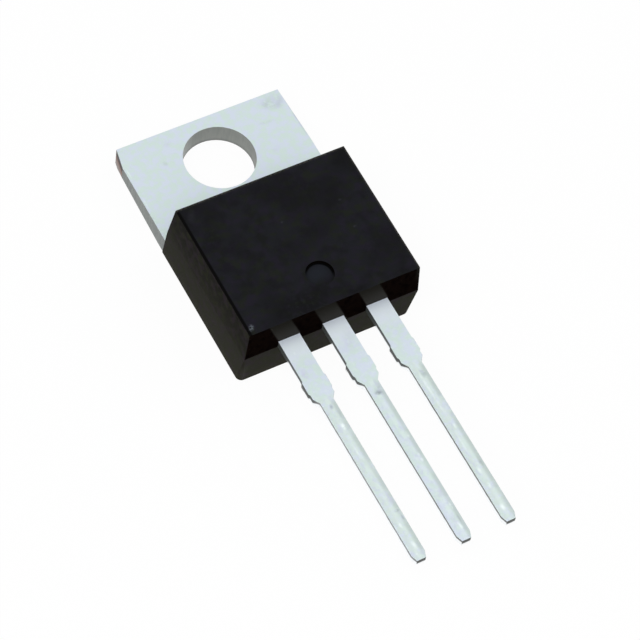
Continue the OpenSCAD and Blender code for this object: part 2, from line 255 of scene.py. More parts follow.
# Tones of the metal, from 0 to 255
ROLLED_BLUE = (213, 223, 236)
ROLLED_GREEN = (209, 226, 222)
# Pale flecks, and the painted highlight along each narrow lead's ridge
ROLLED_FLECK_AND_HIGHLIGHT = (226, 240, 236)
LEAD_GREEN = (210, 224, 219)
LEAD_LAVENDER = (203, 212, 227)
# Painted shade to the right of each narrow lead's ridge
BAND_SHADE_GREY = (186, 199, 195)
# Painted light on the leads towards the moulding, and painted lavender shade next to it
EXIT_PAINTED_LIGHT = (234, 243, 250)
EXIT_SHADE_LAVENDER = (210, 218, 230)
BLOOM_LAVENDER = (200, 202, 226)
SMUDGE_GREY = (92, 104, 112)
GLINT_WHITE = (244, 255, 255)
# Shear-cut sides of the tab, darker partly as painted shade
TAB_SIDE_LOW = (122, 127, 125)
TAB_SIDE_HIGH = (136, 141, 138)
WALL_LOW = (145, 149, 145)
WALL_HIGH = (153, 156, 152)
# Painted light on the left of the hole's wall, and painted shade at its foot
WALL_PAINTED_LIGHT = (198, 202, 199)
WALL_FOOT_SHADE = (112, 114, 112)
SCAR_LOW = (150, 141, 137)
SCAR_MIDDLE = (136, 108, 98)
# Painted shade on the steep top of the scar
SCAR_HIGH_SHADE = (56, 44, 41)
RESIN_STAIN = (98, 92, 82)
WIDE_SIDE = (84, 88, 88)
NARROW_SIDE = (112, 114, 112)
LEFT_NARROW_SIDE = (140, 142, 144)
STUB_SIDE = (78, 80, 78)
EXIT_SIDE = (62, 66, 64)
BURNISHED = (250, 253, 255)

# Finish of the metal, with its grain's size in mm; a burnished side is bare and smoother
METALLIC = 0.25
FACE_ROUGHNESS = 0.4
SIDE_ROUGHER = 0.1
GRAIN_ROUGHER = 0.1
BURNISH_SMOOTHER = 0.4
METAL_GRAIN = 0.05
METAL_RELIEF = 0.002 * MM

# Soft edges in mm, each as (where its mask is 0, where it is 1).
# Along the part:
LEADS_START = (EXIT + 1.0, EXIT + 0.5)
NARROW_START = (NARROW_FROM + 0.3, NARROW_FROM)
BAND_SHADE_START = (NARROW_FROM + 0.2, NARROW_FROM - 0.4)
# Painted light towards the moulding, and painted shade next to it:
EXIT_LIGHT_START = (EXIT - 1.9, EXIT - 0.5)
SHADE_START = (EXIT - 0.55, EXIT + 0.1)
STUB_START = (STUB_FROM + 0.08, STUB_FROM - 0.02)
STUB_END = (STUB_TO - 0.08, STUB_TO + 0.02)
DEEP_STRIP_START = (EXIT - 1.08, EXIT - 0.95)
DARK_STRIP_START = (EXIT - 1.3, EXIT - 0.9)
STAIN_START = (-3.6, -4.0)
STAIN_END = (-6.0, -5.5)
# Across the part, from its centre line, and across a lead, from its own:
OUTER_LEADS = (1.0, 1.6)
LEFT_LEAD = (-2.0, -2.4)
BAND_SHADE_EDGE = (0.08, 0.27)
RIDGE_HIGHLIGHT_EDGE = (0.18, 0.04)
# In the hole, from its axis, to its left with painted light, and down to its foot with painted
# shade:
HOLE_EDGE = (HOLE_R / MM + 0.3, HOLE_R / MM + 0.15)
HOLE_LEFT = (-0.3, -1.5)
HOLE_FOOT = (0.3, 0.0)
# Of the scar, across, along and up to its middle tone and its high painted shade:
SCAR_ACROSS = (-4.45, -4.62)
SCAR_ALONG = (1.95, 2.12)
SCAR_MIDDLE_UP = (0.5, 0.66)
SCAR_HIGH_UP = (0.8, 0.94)
# Of the dark strip on the leads' sides, by height with the strip's depth added:
STRIP_EDGE = (TOP - 0.01, TOP + 0.07)

# Depth in mm of the dark strip below the top edge of a lead, and what changes it
STRIP_DEPTH = 0.26
STRIP_NARROW = -0.12
STRIP_STUB = 0.06
STRIP_TIP = 0.16
STRIP_WANDER = 0.1
STRIP_EXIT = 0.3

# The same for parts of a normal: upright by its height, and a lead's tip along the part
UPRIGHT = (0.75, 0.4)
TIP_FACING = (-0.8, -0.9)

# Patches on the metal, each as (x, y, long, wide, angle, share)
SMUDGES = [
    (2.63, -16.96, 0.44, 0.24, 90, 0.3), (0.05, -17.0, 0.36, 0.18, -23, 0.55),
    (0.1, -16.85, 0.4, 0.3, 60, 0.25),
    (-2.50, -16.69, 0.24, 0.15, 80, 0.4), (-2.35, -23.2, 0.2, 0.12, 0, 0.35),
    (-2.27, -23.66, 0.3, 0.1, 90, 0.3), (-2.3, -17.2, 0.4, 0.1, 90, 0.15),
    (0.22, -24.9, 0.5, 0.08, 90, 0.2), (2.75, -22.6, 0.5, 0.14, 90, 0.25),
    (-2.82, 0.8, 0.26, 0.2, 90, 0.16), (4.25, 2.1, 1.2, 0.8, 10, 0.11),
    (3.85, 2.0, 0.5, 0.4, 0, 0.12), (4.6, 1.9, 0.6, 0.3, 60, 0.1), (4.3, 1.75, 0.5, 0.3, 0, 0.1),
    (3.3, 1.0, 0.8, 0.16, -6, 0.08), (4.93, 1.0, 2.4, 0.12, 90, 0.25),
]
# Painted glints: highlights on the leads and on the tab's left edge
GLINTS = [
    (2.46, -17.6, 1.3, 0.12, 90, 0.5), (2.5, -18.7, 1.2, 0.12, 90, 0.3),
    (2.6, -20.25, 0.25, 0.14, 90, 0.5), (2.45, -21.4, 1.2, 0.1, 90, 0.3),
    (2.47, -22.98, 0.3, 0.15, 90, 0.6), (2.5, -23.9, 0.28, 0.14, 90, 0.5),
    (2.5, -25.25, 0.3, 0.2, 90, 0.95), (0.2, -19.7, 0.3, 0.12, 90, 0.5),
    (0.17, -20.9, 0.2, 0.1, 90, 0.4), (0.17, -21.22, 0.24, 0.12, 90, 0.5),
    (0.2, -24.1, 0.3, 0.08, 90, 0.6), (0.08, -25.25, 0.4, 0.12, 100, 0.7),
    (-2.5, -17.92, 0.34, 0.16, 90, 0.95), (-2.56, -19.5, 0.5, 0.1, 90, 0.4),
    (-2.6, -23.98, 0.3, 0.14, 90, 0.6), (-2.5, -25.2, 0.35, 0.16, 95, 0.7),
    (-2.62, -25.66, 0.2, 0.1, 90, 0.5), (-2.72, -13.2, 0.15, 0.1, 90, 0.4),
    (-4.85, 1.0, 0.5, 0.08, 90, 0.4), (-4.87, -1.0, 0.6, 0.06, 90, 0.3),
]
BLOOMS = [
    (-2.37, -22.5, 0.45, 0.25, 90, 0.5), (0.02, -23.25, 0.4, 0.3, 90, 0.5),
    (0.0, -24.9, 0.5, 0.25, 90, 0.4), (-2.85, -14.5, 0.5, 0.3, 90, 0.5),
    (2.5, -19.4, 0.4, 0.2, 90, 0.3), (-2.15, 1.9, 0.4, 0.3, 20, 0.35),
    (3.0, -0.75, 0.4, 0.3, 30, 0.25), (0.15, -13.6, 1.0, 0.5, 60, 0.3),
]

# Tones of the moulding
BLACK = (0, 0, 0)
TOP_GREY = (27, 28, 32)
TOP_VIOLET = (33, 28, 41)
TOP_OLIVE = (28, 33, 19)
TOP_DARK = (17, 17, 19)
WORN_AND_SHADE_DARK = (14, 14, 15)
FLECK_GREY = (70, 72, 76)
MARK_BLUE = (31, 34, 40)
# Painted highlights on the right and tab-side edges of the front, and at its front left corner
RIM_HIGHLIGHT_GREY = (74, 72, 66)
CORNER_HIGHLIGHT = (104, 111, 118)
# Sides: painted reflection of the pale floor, darker at the top and towards the tab
SIDE_TOP = (18, 17, 12)
SIDE_MIDDLE = (37, 37, 28)
SIDE_BOTTOM = (46, 46, 35)
SIDE_VIOLET = (42, 33, 42)
SIDE_OLIVE = (34, 37, 18)
SIDE_BACK = (14, 13, 12)
LOWER_CORNER_HIGHLIGHT = (80, 77, 78)
# Painted reflections of the leads on the end face, and its painted dark reflection between them
REFLECTION_STRIP_LOW = (54, 53, 51)
REFLECTION_STRIP_HIGH = (33, 32, 29)
DARK_REFLECTION_A = (15, 9, 7)
DARK_REFLECTION_B = (7, 4, 4)

# Finish of the moulding, with its grain's size in mm
CLOUD_SHARE = 0.5
EPOXY_ROUGHNESS = 0.5
EPOXY_GRAIN_ROUGHER = 0.2
EPOXY_GRAIN = 0.06
EPOXY_RELIEF = 0.004 * MM
FRONT_SPECULAR = 0.04
SIDE_SPECULAR = 0.02
END_ROUGHNESS = 0.6

# Soft edges on the moulding, in mm. On its front, the ejector mark and the painted shadow of its far
# wall:
MARK_EDGE = (MARK_R + 0.02, MARK_R - 0.02)
MARK_SHADE_EDGE = (MARK_R - 0.14, MARK_R - 0.07)
MARK_FAR_SIDE = (-0.1, 0.3)
# The line inside the left edge, and the painted highlights along the right and the tab-side edge:
LEFT_LINE_START = (-4.95, -4.90)
LEFT_LINE_END = (-4.70, -4.78)
RIGHT_RIM = (4.76, 4.86)
BACK_RIM = (-4.14, -4.04)
# On the sides, whose tones are painted reflection of the floor, up to the dark top, down to the
# light foot and back to the tab:
SIDE_UP = (1.0, 4.6)
SIDE_DOWN = (1.0, 0.0)
BACK_ALONG = (-9.0, -5.0)
BACK_UP = (2.0, 4.0)
# The painted highlight on the rounded lower front corner, across, along and down:
LOW_HIGHLIGHT_ACROSS = (-4.5, -4.9)
LOW_HIGHLIGHT_ALONG = (-11.9, -12.25)
LOW_HIGHLIGHT_DOWN = (2.0, 0.3)
# On the end face, the painted reflections above the leads:
ABOVE_LEADS = (TOP - 0.05, TOP + 0.05)
END_FACE = (EXIT + 0.5, EXIT + 0.3)
END_UP = (TOP, 4.7)
FAR_CORNER_ACROSS = (4.6, 4.9)
FAR_CORNER_UP = (3.2, 4.7)
REFLECTION_SOFT = 0.06
# The painted reflections above the leads lean to the left, and start a little to the right
REFLECTION_LEAN = 0.407
REFLECTION_SHIFT = 0.04
# Shares of x and y in the direction from the ejector mark's middle to its far wall, by which its
# painted shadow lies
MARK_FAR_X = 0.45
MARK_FAR_Y = 0.9

# Darker patches on the moulding, worn ones and painted shade along the front edge between the leads,
# each as (x, y, long, wide, angle, share)
WORN_AND_SHADED_PATCHES = [
    (-1.6, -11.6, 2.6, 1.2, 0, 0.7), (0.2, -5.0, 3.0, 1.0, 0, 0.25),
    (-4.0, -6.3, 1.6, 0.8, 70, 0.5), (1.5, -5.8, 2.0, 1.0, 20, 0.35),
    (-0.6, -11.2, 0.8, 0.5, 60, 0.25), (-1.3, -12.0, 1.3, 0.3, 0, 0.5),
    (1.3, -12.0, 1.3, 0.3, 0, 0.5), (4.0, -12.0, 1.2, 0.3, 0, 0.4),
]
PALE_FLECKS = [
    (3.05, -8.6, 0.15, 0.1, 0, 0.35), (-0.25, -6.85, 0.12, 0.1, 0, 0.25),
    (3.1, -6.85, 0.15, 0.1, 0, 0.2), (-4.3, -4.6, 0.7, 0.3, 60, 0.1),
]


def spotted(n, colour, spots, tone):
    """Lays patches of one tone over a colour. Each is (x, y, long, wide, angle, share)."""
    grain = n.clouds(size=0.22, low=0.25, high=0.55)
    for x, y, long, wide, angle, share in spots:
        mask = n.both(n.spot(x, y, long, wide, angle), grain)
        colour = n.lay(colour, tone, mask, share)
    return colour


def rolled_faces(n, on_leads, narrow):
    """Pale faces of the strip, with faint green and blue clouds, marks of handling, painted glints,
    and painted highlight and shade along the narrow leads and by the moulding.
    """
    rolled = n.two_tones(n.clouds(size=0.42, low=0.36, high=0.64), ROLLED_BLUE, ROLLED_GREEN)
    flecks = n.both(on_leads, n.clouds(size=0.2, low=0.5, high=0.7))
    rolled = n.lay(rolled, ROLLED_FLECK_AND_HIGHLIGHT, flecks, share=0.2)
    # The outer leads are greener, and all three have lavender patches
    outer = n.step(n.math("ABSOLUTE", n.x), *OUTER_LEADS)
    greener = n.both(narrow, outer, n.clouds(size=0.28, low=0.38, high=0.58))
    rolled = n.lay(rolled, LEAD_GREEN, greener, share=0.8)
    bluer = n.both(narrow, n.clouds(size=0.2, low=0.52, high=0.68, stretch=(1.0, 1.6, 1.0)))
    rolled = n.lay(rolled, LEAD_LAVENDER, bluer, share=0.6)
    # Each narrow part has a painted highlight along its ridge and, to its right, a grey band of
    # painted shade
    offset = n.math("WRAP", n.x, LEAD_PITCH / MM / 2, -LEAD_PITCH / MM / 2)
    band = n.both(n.step(n.y, *BAND_SHADE_START), n.step(offset, *BAND_SHADE_EDGE),
                  n.clouds(size=1.1, low=0.2, high=0.55))
    rolled = n.lay(rolled, BAND_SHADE_GREY, band, share=0.75)
    ridge = n.both(narrow, n.step(n.math("ABSOLUTE", offset), *RIDGE_HIGHLIGHT_EDGE),
                   n.clouds(size=0.5, low=0.3, high=0.6))
    rolled = n.lay(rolled, ROLLED_FLECK_AND_HIGHLIGHT, ridge, share=0.4)
    # Towards the moulding the leads get painted light, and right next to it painted shade in
    # lavender
    rolled = n.lay(rolled, EXIT_PAINTED_LIGHT, n.both(on_leads, n.step(n.y, *EXIT_LIGHT_START)), share=0.85)
    rolled = n.lay(rolled, EXIT_SHADE_LAVENDER, n.both(on_leads, n.step(n.y, *SHADE_START)), share=0.8)
    for spots, tone in ((BLOOMS, BLOOM_LAVENDER), (SMUDGES, SMUDGE_GREY), (GLINTS, GLINT_WHITE)):
        rolled = spotted(n, rolled, spots, tone)
    return rolled


def tab_sides(n):
    """Shear-cut sides of the tab, darker partly as painted shade, the wall of its hole with
    painted light on its left and painted shade at its foot, the scar and the resin stain.
    """
    streaks = n.clouds(size=0.14, low=0.3, high=0.7, stretch=(1.0, 1.0, 7.0))
    sheared_and_shaded = n.two_tones(streaks, TAB_SIDE_LOW, TAB_SIDE_HIGH)
    wall = n.two_tones(streaks, WALL_LOW, WALL_HIGH)
    # Painted light on the left of the wall, and painted shade at its foot
    wall = n.lay(wall, WALL_PAINTED_LIGHT, n.step(n.x, *HOLE_LEFT), share=0.5)
    wall = n.lay(wall, WALL_FOOT_SHADE, n.step(n.z, *HOLE_FOOT), share=0.6)
    colour = n.mix(n.step(n.distance(0.0, 0.0), *HOLE_EDGE), sheared_and_shaded, wall)
    # The scar of the tie bar: three ragged bands, one above the other, the top one painted shade
    raggedness = n.noise(0.25)
    scar = n.both(n.step(n.total(n.x, (raggedness, 0.2)), *SCAR_ACROSS),
                  n.step(n.total(n.y, (raggedness, 1.2)), *SCAR_ALONG))
    height = n.total(n.z, (raggedness, 0.2))
    torn = n.two_tones(n.step(height, *SCAR_MIDDLE_UP), SCAR_LOW, SCAR_MIDDLE)
    torn = n.lay(torn, SCAR_HIGH_SHADE, n.step(height, *SCAR_HIGH_UP))
    colour = n.mix(scar, colour, torn)
    return n.lay(colour, RESIN_STAIN, n.between(n.y, STAIN_START, STAIN_END), share=0.7)


def lead_sides(n, on_leads, narrow):
    """Sides of the leads: a dark strip below the top edge, and bright burnish under
    it. Gives their colour and the mask of the strip."""
    on_stub = n.between(n.y, STUB_START, STUB_END)
    at_tip = n.both(on_leads, n.step(n.split(n.normal)[1], *TIP_FACING))
    depth = n.total(STRIP_DEPTH, (narrow, STRIP_NARROW), (on_stub, STRIP_STUB), (at_tip, STRIP_TIP),
                    (n.noise(0.3), STRIP_WANDER), (n.step(n.y, *DEEP_STRIP_START), STRIP_EXIT))
    in_strip = n.step(n.math("ADD", n.z, depth), *STRIP_EDGE)
    strip = n.two_tones(narrow, WIDE_SIDE, NARROW_SIDE)
    strip = n.lay(strip, LEFT_NARROW_SIDE, n.both(narrow, n.step(n.x, *LEFT_LEAD)))
    strip = n.lay(strip, STUB_SIDE, n.either(on_stub, at_tip))
    strip = n.lay(strip, EXIT_SIDE, n.step(n.y, *DARK_STRIP_START))
    return n.mix(in_strip, srgb(*BURNISHED), strip), in_strip


def plated_metal():
    """Satin tin plating: pale rolled faces, shear-cut sides made darker partly as painted shade,
    and the bare scar.
    """
    n = Nodes("tin_plating")
    side = n.step(n.math("ABSOLUTE", n.split(n.normal)[2]), *UPRIGHT)
    on_leads = n.step(n.y, *LEADS_START)
    narrow = n.step(n.y, *NARROW_START)
    lead_side, in_strip = lead_sides(n, on_leads, narrow)
    sides = n.mix(on_leads, tab_sides(n), lead_side)
    n.put(n.bsdf.inputs["Base Color"], n.mix(side, rolled_faces(n, on_leads, narrow), sides))
    burnish = n.both(side, on_leads, n.math("SUBTRACT", 1.0, in_strip))
    n.put(n.bsdf.inputs["Metallic"], n.total(METALLIC, (burnish, 1 - METALLIC)))
    grain = n.noise(METAL_GRAIN, detail=3.0)
    n.put(n.bsdf.inputs["Roughness"],
          n.total(FACE_ROUGHNESS, (side, SIDE_ROUGHER), (grain, GRAIN_ROUGHER),
                  (burnish, -BURNISH_SMOOTHER)))
    n.bump(grain, METAL_RELIEF, strength=0.6)
    return n.material


def clouded(n, colour, violet, olive):
    """Lays faint violet and olive clouds over a colour of the moulding."""
    violet_clouds = n.clouds(size=0.46, low=0.42, high=0.68, detail=1.0)
    olive_clouds = n.clouds(size=0.4, low=0.46, high=0.7, detail=1.0, stretch=(1.3, 1.0, 1.0))
    colour = n.lay(colour, violet, violet_clouds, CLOUD_SHARE)
    return n.lay(colour, olive, olive_clouds, CLOUD_SHARE)


def worn(n, colour):
    """Lays darker clouds of two sizes over the front of the moulding."""
    colour = n.lay(colour, TOP_DARK, n.clouds(size=0.7, low=0.42, high=0.7, detail=3.0), share=0.55)
    return n.lay(colour, TOP_DARK, n.clouds(size=2.6, low=0.48, high=0.72, detail=1.0), share=0.6)


def ejector_mark(n, colour):
    """Colours the floor of the ejector mark bluish, and paints the shadow of its far wall on it in
    black.
    """
    from_middle = n.distance(MARK_X, MARK_Y)
    in_mark = n.step(from_middle, *MARK_EDGE)
    bluish = n.spot(x=0.0, y=-10.2, long=1.4, wide=0.9)
    colour = n.lay(colour, MARK_BLUE, n.both(in_mark, bluish))
    far_side = n.total(-MARK_FAR_X * MARK_X - MARK_FAR_Y * MARK_Y,
                       (n.x, MARK_FAR_X), (n.y, MARK_FAR_Y))
    shade = n.both(in_mark, n.step(from_middle, *MARK_SHADE_EDGE), n.step(far_side, *MARK_FAR_SIDE))
    return n.lay(colour, BLACK, shade)


def edge_lines_and_highlights(n, colour):
    """Adds a dark line inside the left edge, painted highlights as a pale rim along the right
    and the tab-side edges, and a painted highlight at a front corner.
    """
    colour = n.lay(colour, BLACK, n.between(n.x, LEFT_LINE_START, LEFT_LINE_END))
    rim_highlights = n.either(n.step(n.x, *RIGHT_RIM), n.step(n.y, *BACK_RIM))
    colour = n.lay(colour, RIM_HIGHLIGHT_GREY, n.both(rim_highlights, n.clouds(size=0.08, low=0.3, high=0.7)), share=0.8)
    corner = n.spot(x=-4.6, y=-11.78, long=0.3, wide=0.2, angle=60, soft=0.8)
    corner_highlight_mask = n.both(corner, n.clouds(size=0.09, low=0.3, high=0.6, detail=1.0))
    return n.lay(colour, CORNER_HIGHLIGHT, corner_highlight_mask, share=0.8)


def finish_epoxy(n, colour, specular):
    """Gives the moulding a colour and its fine matt grain."""
    n.put(n.bsdf.inputs["Base Color"], colour)
    grain = n.noise(EPOXY_GRAIN, detail=3.0)
    n.put(n.bsdf.inputs["Roughness"], n.total(EPOXY_ROUGHNESS, (grain, EPOXY_GRAIN_ROUGHER)))
    n.bsdf.inputs["Specular IOR Level"].default_value = specular
    n.bump(grain, EPOXY_RELIEF, strength=0.6)
    return n.material


def moulding():
    """Front of the black filled epoxy."""
    n = Nodes("black_moulding")
    colour = worn(n, clouded(n, srgb(*TOP_GREY), TOP_VIOLET, TOP_OLIVE))
    # Worn patches, and painted shade along the front edge between the leads
    colour = spotted(n, colour, WORN_AND_SHADED_PATCHES, WORN_AND_SHADE_DARK)
    colour = spotted(n, colour, PALE_FLECKS, FLECK_GREY)
    return finish_epoxy(n, edge_lines_and_highlights(n, ejector_mark(n, colour)), FRONT_SPECULAR)


def side_moulding():
    """Sides and lower end of the moulding, in warm tones of painted reflection of the pale floor:
    lighter towards the bottom, darker at the top and towards the tab, with a painted
    highlight on the lower front corner.
    """
    n = Nodes("black_moulding_sides")
    colour = n.two_tones(n.step(n.z, *SIDE_UP), SIDE_MIDDLE, SIDE_TOP)
    colour = n.lay(colour, SIDE_BOTTOM, n.step(n.z, *SIDE_DOWN))
    towards_tab = n.both(n.step(n.y, *BACK_ALONG), n.step(n.z, *BACK_UP))
    colour = n.lay(colour, SIDE_BACK, towards_tab, share=0.35)
    colour = clouded(n, colour, SIDE_VIOLET, SIDE_OLIVE)
    # Painted highlight on the rounded lower front corner
    low_corner_highlight = n.both(n.step(n.x, *LOW_HIGHLIGHT_ACROSS), n.step(n.y, *LOW_HIGHLIGHT_ALONG), n.step(n.z, *LOW_HIGHLIGHT_DOWN))
    return finish_epoxy(n, n.lay(colour, LOWER_CORNER_HIGHLIGHT, low_corner_highlight, share=0.6), SIDE_SPECULAR)


def lead_end_moulding():
    """The smooth upper end face, near black as a painted dark reflection, with paler painted
    reflections of the leads above them and at the far corner, and the wall of the ejector
    mark, near black as painted shade."""
    n = Nodes("black_moulding_lead_end")
    leaning = n.math("MULTIPLY_ADD", n.math("SUBTRACT", n.z, TOP), REFLECTION_LEAN, n.x)
    half = LEAD_WIDE / 2 / MM
    # Painted reflections of the three leads, leaning as their mirror images do
    reflection_strips = []
    for centre in LEAD_CENTRES:
        offset = n.math("ABSOLUTE", n.math("SUBTRACT", leaning, centre / MM + REFLECTION_SHIFT))
        reflection_strips.append(n.step(offset, half + REFLECTION_SOFT, half - REFLECTION_SOFT))
    strip = n.both(n.either(*reflection_strips), n.step(n.z, *ABOVE_LEADS), n.step(n.y, *END_FACE))
    reflection_colour = n.two_tones(n.step(n.z, *END_UP), REFLECTION_STRIP_LOW, REFLECTION_STRIP_HIGH)
    # Near black between the leads as a painted dark reflection, and paler at the far corner
    dark = n.two_tones(n.clouds(size=0.3, low=0.4, high=0.7), DARK_REFLECTION_A, DARK_REFLECTION_B)
    far_corner_reflection = n.both(n.step(n.x, *FAR_CORNER_ACROSS), n.step(n.z, *FAR_CORNER_UP))
    dark = n.lay(dark, REFLECTION_STRIP_HIGH, far_corner_reflection)
    n.put(n.bsdf.inputs["Base Color"], n.mix(strip, dark, reflection_colour))
    n.bsdf.inputs["Roughness"].default_value = END_ROUGHNESS
    n.bsdf.inputs["Specular IOR Level"].default_value = 0.0
    return n.material


# Finish of the pieces inside the moulding, with its sizes in mm
INNER_PATCH = 0.3
INNER_GRAIN = 0.04
INNER_GRAIN_ROUGHER = 0.15
INNER_RELIEF = 0.002 * MM


def plain_inner(name, tone_a, tone_b, metallic, roughness):
    """Finish of a piece inside the moulding: two tones in a fine grain."""
    n = Nodes(name)
    n.put(n.bsdf.inputs["Base Color"], n.two_tones(n.noise(INNER_PATCH, detail=3.0), tone_a, tone_b))
    n.bsdf.inputs["Metallic"].default_value = metallic
    grain = n.noise(INNER_GRAIN)
    n.put(n.bsdf.inputs["Roughness"], n.total(roughness, (grain, INNER_GRAIN_ROUGHER)))
    n.bump(grain, INNER_RELIEF, strength=0.5)
    return n.material


# Lengths that count as one place, and as one height
SAME_PLACE = 1e-7
SAME_HEIGHT = 0.01 * MM
BEVEL_SEGMENTS = 3

# How far in from the body's box its drafted outer walls reach
WALL_REACH = 0.2 * MM
TAB_END_REACH = 0.8 * MM
END_REACH = 0.3 * MM
# Depth from the front in which the ejector mark's wall lies
MARK_REACH = 0.3 * MM
# The body's upright corners are rounded if they rise more than this over the parting plane
PARTING_MARGIN = 0.1 * MM
# How far into the body the rounded edges of the tab and of the leads run
TAB_LAP = 1 * MM
LEAD_LAP = 0.6 * MM
# Parts of a normal beyond which a face is flat, and belongs to the leads' end
FLAT_FACING = 0.7
END_FACING = -0.95
# Numbers of the moulding's materials
FRONT, LEAD_END, SIDES = range(3)


def is_sharp(edge):
    """True for an edge between two faces that may be rounded."""
    return len(edge.link_faces) == 2 and edge.calc_face_angle() > SHARP_ANGLE


def round_edges(bm, picks, radius):
    """Makes each flat face one face, and rounds the sharp edges that picks chooses
    from the places of their ends."""
    bmesh.ops.remove_doubles(bm, verts=bm.verts, dist=SAME_PLACE)
    bmesh.ops.dissolve_limit(bm, angle_limit=FLAT_ANGLE, verts=bm.verts, edges=bm.edges)
    edges = [e for e in bm.edges if is_sharp(e) and picks(*(v.co for v in e.verts))]
    bmesh.ops.bevel(bm, geom=edges, offset=radius, offset_type="OFFSET", profile=0.5,
                    segments=BEVEL_SEGMENTS, affect="EDGES", clamp_overlap=True)
    bm.normal_update()


def shade_faces(bm, choose_material, crisp):
    """Smooths the faces and gives them their materials, and keeps the crisp edges."""
    for face in bm.faces:
        face.smooth = True
        face.material_index = choose_material(face) if choose_material else 0
    for edge in bm.edges:
        two_faces = len(edge.link_faces) == 2
        kept = crisp and crisp(*(v.co for v in edge.verts))
        edge.smooth = two_faces and edge.calc_face_angle() < CRISP_ANGLE and not kept


def rounded_copy(node, name, materials, picks, radius, choose_material=None, crisp=None):
    """Makes a copy of a CAD node with rounded edges, which stands for it. picks tells
    from the ends of an edge if it is rounded, choose_material gives the number of a
    face's material, and crisp tells if an edge between smooth faces is kept sharp."""
    mesh = NODES[node].data.copy()
    mesh.name = name
    if "custom_normal" in mesh.attributes:
        mesh.attributes.remove(mesh.attributes["custom_normal"])
    bm = bmesh.new()
    bm.from_mesh(mesh)
    round_edges(bm, picks, radius)
    shade_faces(bm, choose_material, crisp)
    mesh.materials.clear()
    for material in materials:
        mesh.materials.append(material)
    bm.to_mesh(mesh)
    bm.free()
    piece = bpy.data.objects.new(name, mesh)
    bpy.context.scene.collection.objects.link(piece)
    normals = piece.modifiers.new("even_normals", "WEIGHTED_NORMAL")
    normals.keep_sharp = True
    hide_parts(node)
    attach(piece, "root")


def near(value, target):
    """True where two lengths are the same but for rounding."""
    return abs(value - target) < SAME_HEIGHT


def make_body():
    """The moulding, with rounded outer edges and a material for each kind of face."""
    def is_outer(co):
        at_side = abs(co.x) > BODY_HIGH.x - WALL_REACH
        at_end = co.y < LEAD_EXIT + WALL_REACH or co.y > BODY_HIGH.y - TAB_END_REACH
        return at_side or at_end

    def rounded(a, b):
        on_top = near(a.z, BODY_HIGH.z) and near(b.z, BODY_HIGH.z)
        at_side = min(abs(a.x), abs(b.x)) > BODY_HIGH.x - WALL_REACH
        at_corner = at_side and max(a.z, b.z) > PARTING + PARTING_MARGIN
        return is_outer(a) and is_outer(b) and (on_top or at_corner)

    def at_parting(a, b):
        return near(a.z, PARTING) and near(b.z, PARTING)

    def material_of(face):
        centre = face.calc_center_median()
        flat = abs(face.normal.z) > FLAT_FACING
        is_end = face.normal.y < END_FACING and centre.y < LEAD_EXIT + END_REACH
        if is_end and PARTING < centre.z < BODY_HIGH.z:
            return LEAD_END
        # The ejector mark's wall takes the near-black end material, as painted shade
        if not flat and not is_outer(centre) and centre.z > BODY_HIGH.z - MARK_REACH:
            return LEAD_END
        return FRONT if flat and centre.z > PARTING else SIDES

    rounded_copy("body", "moulded_body",
                 [moulding(), lead_end_moulding(), side_moulding()],
                 rounded, BODY_EDGE_R, material_of, at_parting)


def make_metal(material):
    """The tab with the middle lead, and the outer leads. Their front edges are rounded
    where they are outside the moulding."""
    def tab_face(a, b):
        return near(a.z, TAB_T) and near(b.z, TAB_T) and min(a.y, b.y) > BODY_HIGH.y - TAB_LAP

    def lead_edge(a, b):
        level = near(a.z, b.z) and min(a.z, b.z) > PARTING - SAME_HEIGHT
        return level and max(a.y, b.y) < LEAD_EXIT + LEAD_LAP

    def tab_or_lead(a, b):
        return tab_face(a, b) or lead_edge(a, b)

    rounded_copy("tab_and_anode_lead", "plated_tab_and_middle_lead", [material],
                 tab_or_lead, LEAD_EDGE_R)
    for node, name in (("cathode_lead", "plated_cathode_lead"), ("gate_lead", "plated_gate_lead")):
        rounded_copy(node, name, [material], lead_edge, LEAD_EDGE_R)


def finish_inner_pieces():
    """Gives the pieces inside the moulding their finishes."""
    solder = plain_inner("dull_solder", (150, 151, 153), (172, 173, 175),
                         metallic=1.0, roughness=0.45)
    silicon = plain_inner("silicon", (58, 62, 76), (78, 82, 96),
                          metallic=0.6, roughness=0.2)
    copper = plain_inner("bare_copper", (190, 118, 84), (208, 138, 100),
                         metallic=1.0, roughness=0.35)
    aluminium = plain_inner("aluminium_wire", (214, 215, 218), (226, 227, 229),
                            metallic=1.0, roughness=0.3)
    finishes = {
        "die_solder": solder,
        "clip_solder_on_die": solder,
        "clip_solder_on_post": solder,
        "thyristor_die": silicon,
        "cathode_clip": copper,
        "gate_wire": aluminium,
    }
    for node, material in finishes.items():
        NODES[node].material_slots[0].material = material


# Studio. FLOOR_SHOWN is the share of plain white in the floor as it is seen, and the
# rest is the lit floor with its shadow. WORLD_LEVEL is the strength of the even light.
WHITE = (1.0, 1.0, 1.0, 1.0)
FLOOR_SIZE = 3.0
FLOOR_DROP = 0.01 * MM
FLOOR_SHOWN = 0.95
WORLD_LEVEL = 0.45
LAMP_DISTANCE = 0.4


def direction(azimuth, elevation):
    """Unit vector from the part to a place round it; azimuth 0 is on the leads' side."""
    return Vector((math.sin(azimuth) * math.cos(elevation),
                   -math.cos(azimuth) * math.cos(elevation),
                   math.sin(elevation)))


def seen_directly(tree):
    """1 for rays that show the background: from the camera, a mirror or glass."""
    path = tree.nodes.new("ShaderNodeLightPath")
    total = path.outputs["Is Camera Ray"]
    for name in ("Is Glossy Ray", "Is Transmission Ray"):
        add = tree.nodes.new("ShaderNodeMath")
        add.operation = "ADD"
        add.use_clamp = True
        tree.links.new(total, add.inputs[0])
        tree.links.new(path.outputs[name], add.inputs[1])
        total = add.outputs[0]
    return total


